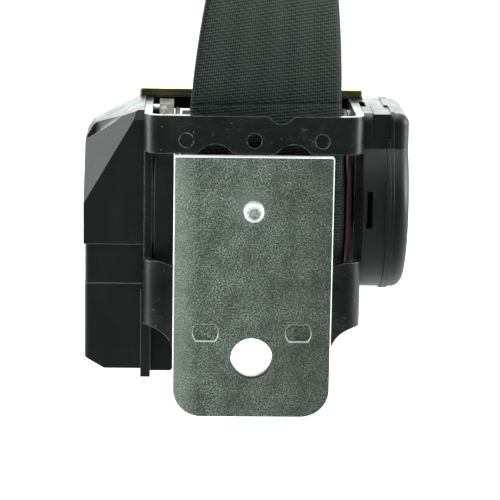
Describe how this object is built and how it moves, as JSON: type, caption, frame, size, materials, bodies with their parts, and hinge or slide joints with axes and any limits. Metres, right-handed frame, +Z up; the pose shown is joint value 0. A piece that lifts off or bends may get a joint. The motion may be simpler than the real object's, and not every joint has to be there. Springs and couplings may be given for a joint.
{
  "type": "seat belt retractor",
  "caption": "Emergency locking seat belt retractor: steel frame with mounting bracket, webbing spool, lock and sensor side, spring side, webbing and latch plate.",
  "frame": {"origin": "centre of the anchor hole on the bracket's outer face", "axes": "+Z up along the webbing, +X towards the spring side, +Y away from the face that bolts to the vehicle"},
  "size_m": [0.1004, 0.0713, 0.2269],
  "materials": {
    "mottled_zinc": "zinc plated, mottled and scuffed",
    "bright_zinc": "bright zinc",
    "black_steel": "black electrocoat, low gloss",
    "gold_chromate": "yellow chromate over zinc",
    "black_plastic": "moulded, satin",
    "grey_plastic": "moulded acetal",
    "red_plastic": "moulded, red brown",
    "cast_alloy": "die cast",
    "bright_steel": "ground steel",
    "webbing": "woven polyester, ribbed"
  },
  "bodies": {
    "retractor": {"mounting_bracket": "mottled_zinc", "locating_stud": "bright_zinc", "frame": "black_steel", "tie_bar": "gold_chromate", "bearing_bush_left": "grey_plastic", "bearing_bush_right": "grey_plastic", "ratchet_guard": "black_plastic", "pawl_pin": "bright_steel", "mechanism_cover": "black_plastic", "mechanism_base": "black_plastic", "sensor_housing": "black_plastic", "sensor_carrier": "black_plastic", "sensor_cup": "grey_plastic", "sensor_lever_pin": "bright_steel", "spring_housing": "black_plastic", "spring_cap": "black_plastic", "mainspring": "bright_steel", "webbing_inner_run": "webbing", "webbing": "webbing"},
    "spool": {"spool_core": "cast_alloy", "webbing_anchor_pin": "bright_steel", "spool_flange_left": "red_plastic", "spool_flange_right": "red_plastic", "webbing_roll": "webbing", "torsion_bar": "bright_steel", "ratchet_wheel": "bright_steel", "spring_arbor": "grey_plastic"},
    "pawl": {"lock_pawl": "bright_steel"},
    "lock_gear": {"lock_gear": "grey_plastic"},
    "inertia_disc": {"inertia_disc": "cast_alloy"},
    "ball": {"sensor_ball": "bright_steel"},
    "lever": {"sensor_lever": "grey_plastic"},
    "latch": {"latch_plate": "bright_steel", "latch_plate_grip": "black_plastic", "webbing_end_loop": "webbing"}
  },
  "joints": [
    {"name": "spool_spin", "type": "hinge", "parent": "retractor", "child": "spool", "pos_m": [0, 0.031, 0.046], "axis": [1, 0, 0], "range_deg": [0, 72]},
    {"name": "webbing_travel", "type": "slide", "parent": "retractor", "child": "latch", "axis": [0, 0, 1], "range_m": [-0.035, 0], "deforming": ["webbing"]},
    {"name": "lock_gear_lag", "type": "hinge", "parent": "spool", "child": "lock_gear", "pos_m": [0, 0.031, 0.046], "axis": [1, 0, 0], "range_deg": [0, 18], "stiffness_Nm_per_rad": 0.002, "springref_deg": -11.46},
    {"name": "pawl_swing", "type": "hinge", "parent": "retractor", "child": "pawl", "pos_m": [0, 0.037, 0.0718], "axis": [1, 0, 0], "range_deg": [0, 8]},
    {"name": "inertia_disc_lag", "type": "hinge", "parent": "lock_gear", "child": "inertia_disc", "pos_m": [0, 0.031, 0.046], "axis": [1, 0, 0], "range_deg": [0, 15], "stiffness_Nm_per_rad": 0.001, "springref_deg": -11.46},
    {"name": "ball_roll", "type": "slide", "parent": "retractor", "child": "ball", "axis": [0, 0.866, 0.5], "range_m": [0, 0.0022]},
    {"name": "lever_lift", "type": "hinge", "parent": "retractor", "child": "lever", "pos_m": [0, 0.0415, 0.021], "axis": [-1, 0, 0], "range_deg": [0, 9]}
  ],
  "couplings": [
    {"joint": "webbing_travel", "follows": "spool_spin", "m_per_rad": -0.0271},
    {"joint": "pawl_swing", "follows": "lock_gear_lag", "ratio": 0.444},
    {"joint": "lever_lift", "follows": "ball_roll", "rad_per_m": 64}
  ]
}
